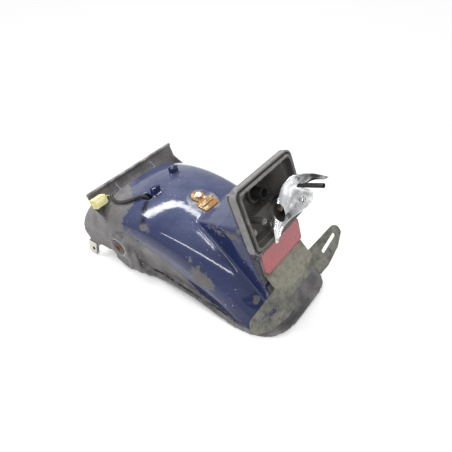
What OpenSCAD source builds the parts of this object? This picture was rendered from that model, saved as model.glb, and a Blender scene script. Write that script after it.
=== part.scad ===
// Motorcycle rear fender: one moulding with a lamp pedestal, and what is fastened to it:
// lamp housing, loose chrome reflector, red reflector, number plate bracket, seat catch,
// side mounts and the lamp lead with its connector.
// X is the machine's right side, Y points forwards and Z up, with Z = 0 where it rests.
// The lamp at the tail faces -Y.

/* [Fender shell] */
// Radius of the crest line about the wheel axle
crest_r = 288; // [280:1:296]
// Place of the wheel axle line along the fender
axle_y = 50.8; // [47:0.2:55]
// Height of the wheel axle line, below the floor that the loose fender rests on
axle_drop = 151.6; // [148:0.2:156]
// Wall of the moulding
wall = 3; // [2:0.25:4]
// Drop from the crest to where the sides begin
shoulder_drop = 46; // [40:1:52]
// Squareness of the section: 2 is an ellipse, and more is flatter on top
squareness = 2.6; // [2.2:0.1:3.4]
// Half of the width at the shoulders, at the middle of the length
half_w = 94.7; // [93:0.1:97]
// Angle at which the two sides close in towards the tail, for each side
toe_in = 2.6; // [2:0.1:3]
// Draw-in of the rear part's sides, from the shoulders down to the foot
side_draft = 7; // [4:0.5:9]
// Angle about the axle up to which the front part's sides stand upright, between the mounts
step_angle = 82; // [79:0.5:84]
// Place of the front edge
front_y = 204; // [199:1:207]
// Rise of the foot of the sides, midway between the mounts and the tail
foot_rise = 16.5; // [10:0.5:20]
// Width of the lip around the foot of the shell
lip_w = 12; // [9:0.5:13]
// Thickness of that lip
lip_t = 3; // [2:0.5:4]

/* [Front wall] */
// Width of the wall that stands across the front
front_wall_w = 200; // [180:1:202]
// Height of that wall's top edge
front_wall_top = 135; // [130:1:142]
// Place of that top edge
front_wall_y = 165; // [160:1:170]
// Lean of the wall forwards
front_wall_lean = 22.2; // [16:0.2:28]
// Thickness of the wall
front_wall_t = 3; // [2:0.5:4]
// Distance of each gusset rib from the middle
rib_x = 42; // [30:1:60]
// Thickness of the gusset ribs
rib_t = 2.5; // [1.5:0.25:4]

/* [Side mounts] */
// Radius of the round side bosses
boss_r = 23; // [20:1:26]
// Reach of each boss from the middle plane
boss_x = 108; // [105:0.5:112]
// Place of the bosses along the fender
boss_y = 102; // [98:1:106]
// Height of the bosses
boss_z = 56; // [52:1:60]
// Radius of the hole that holds each rubber grommet
grommet_r = 14; // [12:0.5:16]
// Radius of each steel sleeve inside its grommet
sleeve_r = 8; // [7:0.25:9]
// Bore of the steel sleeve, as a radius
sleeve_bore_r = 5.25; // [4:0.25:6]
// Place of the front tabs along the fender
tab_y = 180; // [175:1:185]
// Width of each front tab
tab_w = 24; // [20:1:26]
// Outward lean of the front tabs
tab_lean = 14; // [8:1:18]
// Radius of the hole through each front tab
tab_hole_r = 3.5; // [2.5:0.25:4.5]

/* [Lamp pedestal] */
// Place of the plateau's rear edge
plateau_y = -112; // [-115:0.5:-109]
// Height of the plateau there
plateau_z = 157; // [154:0.2:159]
// Slope of the plateau, which rises towards the tail
plateau_slope = 15.6; // [14:0.2:17]
// Place where the plateau bends down towards its front
knee_y = -71; // [-80:1:-62]
// Slope of the plateau in front of that bend
knee_slope = 22.4; // [20:0.2:25]
// Lean of the pedestal's rear wall
back_lean = 28; // [24:0.5:32]
// Half of the plateau's width at its front
plateau_front_w = 40; // [36:1:44]
// Half of the pedestal's width at its rear
plateau_rear_w = 50; // [46:1:54]
// Draft of the pedestal's side walls
pedestal_draft = 2; // [0:0.5:4]
// Rounding of the pedestal's upper edges
pedestal_round = 6; // [4:0.5:8]
// Place of the mounting pad's face, at the middle of the red reflector
face_y = -145.6; // [-147:0.2:-144]
// Height of the middle of the red reflector
face_z = 111; // [110:0.5:114]
// Lean of the mounting pad's face
face_lean = 14.2; // [12:0.2:16]

/* [Lamp] */
// Place of the middle of the lamp's face
lamp_y = -134; // [-136:0.5:-132]
// Height of the middle of the lamp's face
lamp_z = 185; // [183:0.5:188]
// Lean of the lamp's face
lamp_lean = 20.5; // [19:0.5:22]
// Width of the lamp housing
lamp_w = 132; // [126:1:136]
// Height of the lamp housing along its tilted face
lamp_h = 100; // [97:1:102]
// Corner radius of the lamp housing
lamp_corner = 13; // [10:1:18]
// Depth of the flange around the lamp
lamp_flange = 10; // [9:0.5:12]
// Depth of the housing in all
lamp_depth = 46; // [44:1:50]
// Wall of the housing
lamp_wall = 3; // [2:0.25:4]
// Width of the rim around the lamp's opening
lamp_rim = 9; // [8:0.5:11]
// Distance of the screw posts from the middle
post_x = 26; // [22:1:28]
// Radius of the screw posts in the housing
post_r = 5; // [4:0.25:6]
// Radius of the metal insert in each screw post
insert_r = 3; // [2.5:0.25:3.5]
// Radius of the bulb socket
socket_r = 11; // [9:0.5:13]
// Wall of the chrome reflector
chrome_t = 2.4; // [1.8:0.2:3]

/* [Red reflector] */
// Width of the red reflector
reflector_w = 93; // [84:1:98]
// Height of the red reflector
reflector_h = 38; // [30:1:40]
// Thickness of the red reflector
reflector_t = 5.5; // [4:0.5:8]

/* [Plate bracket] */
// Thickness of the bracket's steel
bracket_t = 2.5; // [2:0.25:3]
// Half of the width of the bracket's middle
bracket_half_w = 47; // [44:1:50]
// Slope of the bracket's lower part below the level
bracket_slope = 44; // [40:0.5:46]
// Length of that lower part
bracket_len = 66; // [60:1:72]
// Angle by which each ear is bent up
ear_bend = 6; // [3:1:12]
// Reach of each ear beyond its bend
ear_reach = 77; // [70:1:80]
// Length of each slot for the number plate
slot_len = 43.5; // [30:0.5:46]
// Width of those slots
slot_w = 6.5; // [5:0.5:8]

/* [Seat catch and fasteners] */
// Thickness of the seat catch plate
catch_t = 2; // [1.5:0.25:3]
// Place of the seat catch bolt
catch_y = 7; // [4:0.5:10]
// Half of the catch plate's width
catch_half_w = 17; // [14:0.5:20]
// Thread radius of the bolts
bolt_r = 3; // [2.5:0.25:3.5]
// Clearance of a bolt in its hole, on the radius
bolt_gap = 0.3; // [0.2:0.05:0.5]

/* [Lead] */
// Diameter of the sheath over the lamp lead
sheath_d = 6; // [5:0.5:7]
// Diameter of each wire
wire_d = 2.2; // [1.6:0.2:2.6]
// Length of the connector
connector_l = 25; // [20:1:30]
// Width of the connector
connector_w = 16; // [14:1:18]
// Thickness of the connector
connector_t = 14; // [10:1:15]

/* [Hidden] */

$fn = 64;
e = 0.01;

plastic = [0.31, 0.30, 0.30];
housing_grey = [0.24, 0.23, 0.22];
black_rubber = [0.08, 0.08, 0.08];
zinc = [0.62, 0.62, 0.60];
old_steel = [0.43, 0.42, 0.36];
rust = [0.62, 0.36, 0.12];
brown_rust = [0.36, 0.25, 0.18];
red = [0.62, 0.22, 0.25];
beige = [0.72, 0.70, 0.64];
cream = [0.85, 0.82, 0.55];
chrome = [0.80, 0.82, 0.82];

arch_steps = 32;
shell_core_r = 120;
shell_first_angle = 42;
shell_last_angle = 154;
body_w = 400;
foot_mid_y = -31;
foot_span = 128;
foot_low = 0;
tail_lift = 8;
// The bare front part ends below in a notch between each boss and tab
notch_z = 23;
notch_front_y = tab_y - tab_w / 2 - 3;
notch_rear_y = boss_y + 29;

// Frames

// Draws a shape in the YZ plane and stretches it across the fender
module across(width) {
    translate([-width / 2, 0, 0]) rotate([90, 0, 90]) linear_extrude(width) children();
}
// The middle of the lamp's face: x across, z up the face, y into the housing
module at_lamp() {
    translate([0, lamp_y, lamp_z]) rotate([-lamp_lean, 0, 0]) children();
}
// The middle of the mounting pad's face: z up the face, y into the pedestal
module at_face() {
    translate([0, face_y, face_z]) rotate([-face_lean, 0, 0]) children();
}
// The plateau's rear edge: z square to the plateau, y forwards down its slope
module at_plateau() {
    translate([0, plateau_y, plateau_z]) rotate([-plateau_slope, 0, 0]) children();
}
// The bend in the plateau, along its front part
module at_knee() {
    translate([0, knee_y, plateau_z - (knee_y - plateau_y) * tan(plateau_slope)])
        rotate([-knee_slope, 0, 0]) children();
}
// The plateau's rear edge again: z up the pedestal's rear wall, y into the pedestal
module at_back() {
    translate([0, plateau_y, plateau_z]) rotate([-back_lean, 0, 0]) children();
}
// The middle of the front wall's top edge: z up the wall, y forwards through it
module at_front_wall() {
    translate([0, front_wall_y, front_wall_top]) rotate([-front_wall_lean, 0, 0]) children();
}
// The left and right halves of a pair
module both_sides() {
    children();
    mirror([1, 0, 0]) children();
}

// Fender shell

function side_x(y) = half_w + y * tan(toe_in);
function crest_z(y) = sqrt(pow(crest_r, 2) - pow(y - axle_y, 2)) - axle_drop;

// Half section of the shell as [radius about the axle, half width], from the crest outwards
function half_arch(inset) = [for (i = [0 : arch_steps])
    let (t = 90 * i / arch_steps)
    [crest_r - shoulder_drop + (shoulder_drop - inset) * pow(cos(t), 2 / squareness),
     (half_w - inset) * pow(sin(t), 2 / squareness)]];

// The whole section, with its sides drawn in towards the axle
function arch_section(draft, inset) =
    let (
        arch = half_arch(inset),
        foot = [shell_core_r, half_w - inset - draft]
    )
    concat(
        [[foot[0], -foot[1]]],
        [for (i = [arch_steps : -1 : 1]) [arch[i][0], -arch[i][1]]],
        arch,
        [foot]
    );

// The section turned about the axle between two angles, measured up from straight ahead.
// Each half is turned on its own axle line, so that the sides close in towards the tail.
module turned(draft, inset, from, to) {
    both_sides() intersection() {
        rotate([0, 0, toe_in]) translate([0, axle_y, -axle_drop]) rotate([90, 0, 90])
            rotate([0, 0, from]) rotate_extrude(angle = to - from, $fn = 180)
                polygon(arch_section(draft, inset));
        translate([-body_w, -body_w, -body_w]) cube([body_w, 2 * body_w, 2 * body_w]);
    }
}

// The sides are drawn in by side_draft over the height of the foot below the shoulders
rear_draft = side_draft * (crest_r - shoulder_drop - shell_core_r) / 40;

module shell_body(inset, margin) {
    turned(0, inset, shell_first_angle - margin, step_angle - (inset > 0 ? inset / 5 : 0));
    turned(rear_draft, inset, step_angle - 2, shell_last_angle + margin);
}

function foot_z(y) =
    foot_low + foot_rise * pow(cos(90 * max(-1, min(1, (y - foot_mid_y) / foot_span))), 2);

foot_front_y = boss_y - 9;
foot_line = concat(
    [[-253, tail_lift + 2], [-207, tail_lift], [-195, tail_lift / 2], [-185, 0.8], [-171, 0]],
    [for (y = [foot_mid_y - foot_span + 4 : 16 : foot_front_y]) [y, foot_z(y)]]
);

// Side view of what is kept of the shell: above the foot line, and behind the front edge
module shell_outline() {
    polygon(concat(
        foot_line,
        [[foot_front_y + 2, 4], [boss_y + 1, 7], [notch_rear_y - 2, 17], [notch_rear_y, notch_z],
         [notch_front_y + 4, notch_z], [tab_y + tab_w / 2, notch_z + 4],
         [front_y - 5, 34], [front_y - 1, 44], [front_y, 54], [front_y, 400], [-253, 400]]
    ));
}

// The lip stands out from the foot, down both sides and round the tail
module lip() {
    intersection() {
        difference() {
            turned(rear_draft, -lip_w, step_angle - 25, shell_last_angle);
            turned(rear_draft, wall / 2, step_angle - 35, shell_last_angle + 5);
        }
        across(body_w) polygon(concat(
            foot_line,
            [for (i = [len(foot_line) - 1 : -1 : 0]) foot_line[i] + [0, lip_t]]
        ));
        // the lip's corners are rounded at the tail
        both_sides() translate([0, 0, -5]) linear_extrude(60) polygon([
            [1, 127], [-103, 127], [-98.5, 7], [-96, -53], [-96, -101], [-94.5, -132], [-91, -155],
            [-83, -175], [-74, -187], [-62, -196], [-50, -201], [-36, -204], [-15, -206], [1, -206]
        ]);
    }
}

// Lamp pedestal

// Everything in front of the rear wall and below the plateau, with both moved outwards by grow
module pedestal_space(grow) {
    intersection() {
        at_plateau() translate([-body_w / 2, -200, -200]) cube([body_w, 400, 200 + grow]);
        at_back() translate([-body_w / 2, -grow, -250]) cube([body_w, 250, 500]);
    }
}

// Section square to the plateau, with rounded upper edges
module pedestal_section(inset) {
    round_r = pedestal_round - inset;
    rear_w = plateau_rear_w - inset;
    draft_w = 150 * tan(pedestal_draft);
    translate([0, 140, 0]) rotate([90, 0, 0]) linear_extrude(280) polygon(concat(
        [[-rear_w - draft_w, -150], [rear_w + draft_w, -150]],
        [for (a = [0 : 15 : 90])
            [rear_w - round_r * (1 - cos(a)), -inset - round_r * (1 - sin(a))]],
        [for (a = [90 : -15 : 0])
            [-rear_w + round_r * (1 - cos(a)), -inset - round_r * (1 - sin(a))]]
    ));
}

module pedestal(inset) {
    rear_w = plateau_rear_w - inset;
    front_w = plateau_front_w - inset;
    intersection() {
        pedestal_space(-inset);
        at_plateau() pedestal_section(inset);
        at_knee() pedestal_section(inset);
        // plan view
        translate([0, 0, 20]) linear_extrude(body_w) polygon([
            [-front_w + 3, -5], [front_w - 3, -5],
            [rear_w - 2, -73], [rear_w + 3, -123], [rear_w + 3, -213],
            [-rear_w - 3, -213], [-rear_w - 3, -123], [-rear_w + 2, -73]
        ]);
    }
    // pad that the reflector and the bracket are fastened to
    intersection() {
        pad_w = 2 * (bracket_half_w - 3 - inset);
        pad_h = reflector_h - 2 * inset;
        at_face() translate([-pad_w / 2, inset, -pad_h / 2]) cube([pad_w, 60, pad_h]);
        at_back() translate([-body_w / 2, -60, -250]) cube([body_w, 60 + inset + 1, 500]);
    }
}

// Front wall with its rolled top edge and gusset ribs
module front_wall() {
    wall_len = 75;
    edge_t = front_wall_t + 3;
    edge_h = 5;
    intersection() {
        at_front_wall() {
            translate([-front_wall_w / 2, 0, -wall_len]) cube([front_wall_w, front_wall_t, wall_len]);
            translate([-front_wall_w / 2, front_wall_t - edge_t, -edge_h])
                cube([front_wall_w, edge_t, edge_h]);
            for (x = [-rib_x, rib_x])
                translate([x - rib_t / 2, 0, 0]) rotate([90, 0, 90]) linear_extrude(rib_t)
                    polygon([[e, -edge_h - 5], [-16, -34], [-16, -60], [e, -60]]);
            both_sides() translate([-front_wall_w / 2, 0, 0]) rotate([90, 0, 90]) linear_extrude(rib_t)
                polygon([[e, -28], [-16, -44], [-16, -60], [e, -60]]);
        }
        translate([-body_w / 2, 0, 60]) cube([body_w, front_y, 200]);
    }
}

// Moulded square hooks on the top of the shell
hook_w = 15;
hook_h = 11;
hook_t = 5;
hook_places = [[-30, 70], [31, 87]];

module hook(place) {
    angle = acos((place[1] - axle_y) / crest_r);
    translate([place[0], axle_y, -axle_drop]) rotate([angle - 90, 0, 0]) {
        difference() {
            translate([-hook_w / 2, -hook_t / 2, crest_r - 8])
                cube([hook_w, hook_t, hook_h + 8]);
            translate([-hook_w / 2 + 3, -hook_t, crest_r + 2])
                cube([hook_w - 6, 2 * hook_t, 3]);
        }
        translate([-hook_w / 2, -hook_t / 2, crest_r + hook_h - 3]) cube([hook_w, hook_t + 4, 3]);
    }
}

// Opening beside the left hook, through which the lamp lead comes out
lead_x = -44;
lead_y = 79;
lead_slot_w = 10;
lead_slot_len = 19;

module lead_opening() {
    translate([lead_x, lead_y, 100]) linear_extrude(60) {
        square([lead_slot_w, lead_slot_len - lead_slot_w], center = true);
        for (y = [-1, 1] * (lead_slot_len - lead_slot_w) / 2) translate([0, y]) circle(lead_slot_w / 2);
    }
}

boss_depth = boss_x - side_x(boss_y) + wall;

module boss() {
    translate([-boss_x, boss_y, boss_z]) rotate([0, 90, 0]) cylinder(r = boss_r, h = boss_depth);
    translate([-boss_x + 4, 0, 0]) rotate([90, 0, 90]) linear_extrude(boss_depth - 4)
        polygon([[boss_y - 16, 6], [boss_y, 7], [boss_y + 20, 15], [boss_y + boss_r - 1, boss_z - 6],
                 [boss_y - boss_r + 1, boss_z - 6]]);
}

module boss_hole() {
    translate([-boss_x - 1, boss_y, boss_z]) rotate([0, 90, 0]) cylinder(r = grommet_r, h = 30);
}

// Each tab leans outwards and carries the weight of the front on its rounded end
tab_top_z = 36;
tab_end_r = tab_w / 2;
tab_len = (tab_top_z - wall * sin(tab_lean)) / cos(tab_lean);

module at_tab() {
    translate([-side_x(tab_y), tab_y, tab_top_z]) rotate([0, tab_lean, 0]) children();
}

module tab() {
    at_tab() rotate([90, 0, 90]) linear_extrude(wall) {
        translate([-tab_w / 2, -tab_len + tab_end_r]) square([tab_w, tab_len - tab_end_r + 6]);
        translate([0, -tab_len + tab_end_r]) circle(tab_end_r);
    }
}

module tab_hole() {
    at_tab() translate([-5, 0, -tab_len + tab_end_r]) rotate([0, 90, 0]) cylinder(r = tab_hole_r, h = 15);
}

module fender() {
    color(plastic) difference() {
        union() {
            intersection() {
                shell_body(0, 0);
                across(body_w) shell_outline();
            }
            pedestal(0);
            lip();
            front_wall();
            for (p = hook_places) hook(p);
            both_sides() {
                boss();
                tab();
            }
        }
        shell_body(wall, 3);
        pedestal(wall);
        lead_opening();
        both_sides() {
            boss_hole();
            tab_hole();
        }
        // bolt holes: lamp, red reflector and seat catch
        for (x = [-1, 1] * lamp_bolt_x) at_back() translate([x, -10, -lamp_bolt_down])
            rotate([-90, 0, 0]) cylinder(r = bolt_r + bolt_gap, h = 20);
        for (x = [-1, 1] * stud_x) at_face() translate([x, 12, 0]) rotate([90, 0, 0])
            cylinder(r = stud_r + bolt_gap, h = 30);
        at_catch() translate([0, 11, -20]) cylinder(r = bolt_r + bolt_gap, h = 30);
    }
}

// Lamp housing

lamp_bolt_x = 34;
lamp_bolt_down = 14;
lamp_foot_t = 4;
lead_hole_x = -18;
lead_hole_up = 18;
socket_x = 8;
socket_up = 8;
socket_front = 18;

module rounded(w, h, r) {
    square([w - 2 * r, h], center = true);
    square([w, h - 2 * r], center = true);
    for (x = [-1, 1], y = [-1, 1]) translate([x * (w / 2 - r), y * (h / 2 - r)]) circle(r);
}

// A plate of the lamp's outline between two depths behind its face
module lamp_plate(w, h, r, from, to) {
    translate([0, to, 0]) rotate([90, 0, 0]) linear_extrude(to - from) rounded(w, h, r);
}

// A tapered block between two depths, each end given as [half width, low edge, high edge]
module lamp_block(near, near_depth, far, far_depth) {
    hull() {
        translate([-near[0], near_depth, near[1]]) cube([2 * near[0], e, near[2] - near[1]]);
        translate([-far[0], far_depth - e, far[1]]) cube([2 * far[0], e, far[2] - far[1]]);
    }
}

// A cylinder square to the lamp's face, between two depths
module lamp_rod(x, up, r, from, to) {
    translate([x, to, up]) rotate([90, 0, 0]) cylinder(r = r, h = to - from);
}

lip_outer = 2.5;
channel_w = 3.5;
channel_d = 4;
gasket_t = 2.5;
inner_lip = 3;
shallow_depth = lamp_flange - 1;
post_up = -15;
post_front = 2;
chrome_post = [47, -24];
body_near = [lamp_w / 2 - 13, 7 - lamp_h / 2, lamp_h / 2 - 7];
body_far = [lamp_w / 2 - 29, 7 - lamp_h / 2, lamp_h / 2 - 22];

module lamp_channel() {
    difference() {
        lamp_plate(lamp_w - 2 * lip_outer, lamp_h - 2 * lip_outer, lamp_corner - lip_outer, -1, channel_d);
        lamp_plate(lamp_w - 2 * (lip_outer + channel_w), lamp_h - 2 * (lip_outer + channel_w),
            lamp_corner - lip_outer - channel_w, -2, channel_d + 1);
    }
}

module lamp_cavity() {
    difference() {
        at_lamp() {
            lamp_plate(lamp_w - 2 * lamp_rim, lamp_h - 2 * lamp_rim, lamp_corner - 5, -9, shallow_depth);
            lamp_block(body_near + [-lamp_wall, lamp_wall, -lamp_wall], shallow_depth - e,
                body_far + [-lamp_wall, lamp_wall, -lamp_wall], lamp_depth - lamp_wall);
        }
        pedestal_space(lamp_foot_t);
        at_lamp() {
            for (x = [-1, 1] * post_x) lamp_rod(x, post_up, post_r, post_front, lamp_depth + 5);
            lamp_rod(chrome_post[0], chrome_post[1], post_r, chrome_face + chrome_t, 30);
            lamp_rod(socket_x, socket_up, socket_r + 3, lamp_depth - 10, lamp_depth);
        }
    }
}

module lamp_housing() {
    color(housing_grey) difference() {
        at_lamp() {
            lamp_plate(lamp_w, lamp_h, lamp_corner, 0, lamp_flange);
            lamp_plate(lamp_w - 2 * (lip_outer + channel_w), lamp_h - 2 * (lip_outer + channel_w),
                lamp_corner - lip_outer - channel_w, -inner_lip, 5);
            lamp_block(body_near, lamp_flange - e, body_far, lamp_depth);
        }
        lamp_cavity();
        // the body sits over the pedestal's upper rear edge
        pedestal_space(0);
        at_lamp() {
            lamp_channel();
            for (x = [-1, 1] * post_x) lamp_rod(x, post_up, insert_r, post_front - 1, 15);
            lamp_rod(chrome_post[0], chrome_post[1], chrome_screw_r, -20, 16);
            lamp_rod(socket_x, socket_up, socket_r, lamp_depth - 11, lamp_depth - 2);
            lamp_rod(lead_hole_x, lead_hole_up, sheath_d / 2 + 2, lamp_depth - 10, lamp_depth + 1);
        }
        for (x = [-1, 1] * lamp_bolt_x) at_back() translate([x, 1, -lamp_bolt_down])
            rotate([90, 0, 0]) cylinder(r = bolt_r + bolt_gap, h = 12);
    }
}

module lamp_gasket() {
    color(black_rubber) at_lamp() intersection() {
        lamp_channel();
        translate([-100, channel_d - gasket_t, -100]) cube([200, gasket_t, 200]);
    }
}

module lamp_inserts() {
    color(zinc) at_lamp() for (x = [-1, 1] * post_x) difference() {
        lamp_rod(x, post_up, insert_r, post_front - 1, 15);
        lamp_rod(x, post_up, insert_r - 1, post_front - 2, 13);
    }
}

module bulb_socket() {
    color(black_rubber) at_lamp() difference() {
        union() {
            lamp_rod(socket_x, socket_up, socket_r, lamp_depth - 11, lamp_depth - 2);
            lamp_rod(socket_x, socket_up, socket_r - 2, socket_front, lamp_depth - 10);
        }
        lamp_rod(socket_x, socket_up, socket_r - 4, socket_front - 1, lamp_depth - 6);
    }
}

// Chrome reflector: a broken bowl that stands half out of the lamp, held by one screw
chrome_face = -3;
chrome_screw_r = 1.6;
chrome_view = [0, 116.5, 49.9];

// Rows run up the bowl and then out along its broken upper edge. Each has four points, from
// the back edge over the crease to the front edge, as [across, up, behind the lamp's face].
chrome_rows = [
    [[-34, -45, -12], [-33.5, -45, -13], [-33, -45, -13.5], [-32, -44.5, -14]],
    [[-28, -27, -4], [-27, -26, -12], [-16, -31, -10], [-10, -31, -14]],
    [[-14, -13, 2], [-8, -14, -10], [8, -24, -6], [12, -31, -14]],
    [[3, 0, 6], [4, 1, -9], [29, -21, -3], [38, -37, -16]],
    [[20, 3, 8], [8, 12, -10], [37, -12, -3], [63, -34, -21]],
    [[34, 6, 8], [14, 21, -13], [43, -2, -6], [64, -20, -22]],
    [[49, 8, 4], [28, 25, -18], [47, 5, -14], [46, -6, -18]],
    [[58, 7, -8], [37, 25, -28], [46, 12, -26], [48, 1, -24]],
    [[62, 5, -22], [46, 20, -40], [50, 13, -40], [52, 5, -36]],
    [[57, 4, -50], [56, 9, -58], [54, 8, -58], [52, 6, -54]]
];

module chrome_bowl() {
    // the wall is measured along this line of sight into the bowl
    for (r = [0 : len(chrome_rows) - 2], c = [0 : 2]) hull()
        for (q = [chrome_rows[r][c], chrome_rows[r][c + 1], chrome_rows[r + 1][c], chrome_rows[r + 1][c + 1]])
            translate([q[0], q[2], q[1]]) rotate(chrome_view) cylinder(r = 0.04, h = chrome_t, $fn = 3);
}

module chrome_reflector() {
    color(chrome) at_lamp() difference() {
        union() {
            chrome_bowl();
            // screw boss, and the tube that the lens was screwed to
            lamp_rod(chrome_post[0], chrome_post[1], 6.5, -9, chrome_face + chrome_t);
            lamp_rod(48, -1, 3.4, -52, -8);
        }
        lamp_rod(chrome_post[0], chrome_post[1], 5, -30, -6);
        lamp_rod(chrome_post[0], chrome_post[1], chrome_screw_r + 0.3, -30, 5);
        lamp_rod(48, -1, 1.8, -53, -30);
        // bulb hole on the crease
        translate([-4, -10, -14]) rotate(chrome_view) cylinder(r = 8.5, h = 60, center = true);
    }
}

module chrome_screw() {
    color(zinc) at_lamp() {
        lamp_rod(chrome_post[0], chrome_post[1], chrome_screw_r, -7, 12);
        lamp_rod(chrome_post[0], chrome_post[1], 3.4, -8.5, -6);
    }
}

// A hexagon bolt pointing up, with the underside of its head at Z = 0
head_h = 4;
head_r = 5.8;

module bolt(length) {
    translate([0, 0, -head_h]) cylinder(r = head_r, h = head_h, $fn = 6);
    cylinder(r = bolt_r, h = length);
}

nut_h = 4.5;

module nut(bore) {
    difference() {
        cylinder(r = head_r, h = nut_h, $fn = 6);
        translate([0, 0, -1]) cylinder(r = bore, h = nut_h + 2);
    }
}

module lamp_bolts() {
    color(zinc) at_back() for (x = [-1, 1] * lamp_bolt_x) translate([x, wall, -lamp_bolt_down])
        rotate([90, 0, 0]) bolt(14);
}

module lamp_nuts() {
    color(zinc) at_back() for (x = [-1, 1] * lamp_bolt_x) translate([x, -lamp_foot_t, -lamp_bolt_down])
        rotate([90, 0, 0]) nut(bolt_r);
}

// Red reflector and number plate bracket

stud_x = 30;
stud_r = 2.5;

module rear_reflector() {
    color(red) at_face() {
        translate([0, -bracket_t, 0]) rotate([90, 0, 0]) linear_extrude(reflector_t)
            rounded(reflector_w, reflector_h, 4);
        for (x = [-1, 1] * stud_x) translate([x, -bracket_t - 1, 0]) rotate([-90, 0, 0])
            cylinder(r = stud_r, h = bracket_t + wall + 9);
    }
}

module reflector_nuts() {
    color(zinc) at_face() for (x = [-1, 1] * stud_x) translate([x, wall, 0]) rotate([-90, 0, 0])
        nut(stud_r);
}

// The lower part starts at the bend, at the foot of the upper flange
bend_down = reflector_h / 2 + 1;

// Drawn flat on the lower part: x across, y down its slope, z down through its thickness
module at_slope() {
    at_face() translate([0, -bracket_t, -bend_down])
        rotate([180 + bracket_slope + face_lean, 0, 0]) children();
}

ear_tip_r = 12;
ear_top = 25;
ear_root = bracket_len;
ear_slot = [41, 41];
slot_turn = -9;
middle_len = 51;

// One ear, drawn flat: x outwards from its bend
module ear_outline() {
    tip_x = ear_reach - ear_tip_r;
    polygon(concat(
        [[-20, ear_top]],
        [for (a = [-90 : 10 : 40]) [tip_x, ear_top + ear_tip_r] + ear_tip_r * [cos(a), sin(a)]],
        [[52, 57], [14, ear_root], [-8, ear_root]]
    ));
}

module slot_outline(len, w) {
    square([len - w, w], center = true);
    for (x = [-1, 1] * (len - w) / 2) translate([x, 0]) circle(w / 2);
}

// Side view of the upper flange, the bend and the lower part, in the frame of the mounting pad's face
module side_profile() {
    turn = bracket_slope + face_lean;
    corner = [-bracket_t, -bend_down];
    foot = corner - middle_len * [cos(turn), sin(turn)];
    polygon(concat(
        [[-bracket_t, reflector_h / 2 - 2], [0, reflector_h / 2 - 2]],
        [for (i = [0 : 4]) corner + bracket_t * [cos(i / 4 * (turn - 90)), sin(i / 4 * (turn - 90))]],
        [foot + bracket_t * [sin(turn), -cos(turn)], foot, corner]
    ));
}

// Section through an ear and its bend, set in a little from both faces of the lower part
module ear_profile() {
    rise = ear_reach * sin(ear_bend);
    run = ear_reach * cos(ear_bend);
    low = 0.2;
    high = bracket_t - 0.2;
    polygon([[-20, low], [0, low], [run, low - rise], [run, high - rise], [0, high], [-20, high]]);
}

module plate_bracket() {
    color(old_steel) {
        difference() {
            at_face() translate([-bracket_half_w, 0, 0]) rotate([90, 0, 90])
                linear_extrude(2 * bracket_half_w) side_profile();
            for (x = [-1, 1] * stud_x) at_face() translate([x, 15, 0]) rotate([90, 0, 0])
                cylinder(r = stud_r + bolt_gap, h = 30);
        }
        both_sides() at_slope() translate([-bracket_half_w, 0, 0]) mirror([1, 0, 0]) intersection() {
            translate([0, 150, 0]) rotate([90, 0, 0]) linear_extrude(150) ear_profile();
            translate([0, 0, -20]) linear_extrude(40) difference() {
                ear_outline();
                translate(ear_slot) rotate(slot_turn) slot_outline(slot_len, slot_w);
            }
        }
    }
}

// Seat catch

// The catch lies along the crest, which falls away towards the tail
catch_mid_y = catch_y - 11;
catch_lean = asin((axle_y - catch_mid_y) / crest_r);

module at_catch() {
    translate([0, catch_mid_y, crest_z(catch_mid_y) + 0.3]) rotate([catch_lean, 0, 0]) children();
}

module seat_catch() {
    color(rust) at_catch() difference() {
        union() {
            linear_extrude(catch_t) {
                translate([0, 12]) circle(11);
                translate([-9, -3]) square([18, 14]);
                translate([0, -9.5]) rounded(2 * catch_half_w, 21, 5);
            }
            translate([-catch_half_w + 3, -9.5, catch_t]) rotate([0, 90, 0])
                cylinder(r = 1.6, h = 2 * catch_half_w - 6);
        }
        translate([0, 11, -1]) cylinder(r = bolt_r + bolt_gap, h = 6);
    }
}

module seat_catch_bolt() {
    color(zinc) at_catch() translate([0, 11, catch_t]) mirror([0, 0, 1]) bolt(16);
}

module seat_catch_nut() {
    color(zinc) at_catch() translate([0, 11, -wall - nut_h - 1.2]) nut(bolt_r);
}

// Side mounts

module grommet() {
    color(black_rubber) translate([-boss_x, boss_y, boss_z]) rotate([0, 90, 0]) difference() {
        union() {
            cylinder(r = grommet_r, h = boss_depth);
        }
        translate([0, 0, -5]) cylinder(r = sleeve_r, h = 40);
    }
}

module sleeve() {
    color(brown_rust) translate([-boss_x - 1, boss_y, boss_z]) rotate([0, 90, 0]) difference() {
        cylinder(r = sleeve_r, h = boss_depth + 2);
        translate([0, 0, -5]) cylinder(r = sleeve_bore_r, h = 40);
    }
}

module grommet_left() { grommet(); }
module grommet_right() { mirror([1, 0, 0]) grommet(); }
module sleeve_left() { sleeve(); }
module sleeve_right() { mirror([1, 0, 0]) sleeve(); }

// A clip nut of folded spring steel, pushed over the end of each tab
clip_t = 1.2;
clip_w = 15;
clip_over = tab_w / 2 - clip_w / 2 + 0.2;
clip_h = 22;

module clip_nut() {
    color(beige) difference() {
        at_tab() translate([0, 0, -tab_len + tab_end_r - 9]) {
            translate([-clip_t, -clip_w / 2, 0]) cube([clip_t, clip_w + clip_over, clip_h]);
            translate([wall, -clip_w / 2, 0]) cube([clip_t, clip_w + clip_over, clip_h]);
            // the fold goes round the front edge of the tab
            translate([-clip_t, clip_w / 2 + clip_over - e, 0])
                cube([wall + 2 * clip_t, clip_t, clip_h]);
        }
        tab_hole();
    }
}

module clip_nut_left() { clip_nut(); }
module clip_nut_right() { mirror([1, 0, 0]) clip_nut(); }

// Lead

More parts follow.
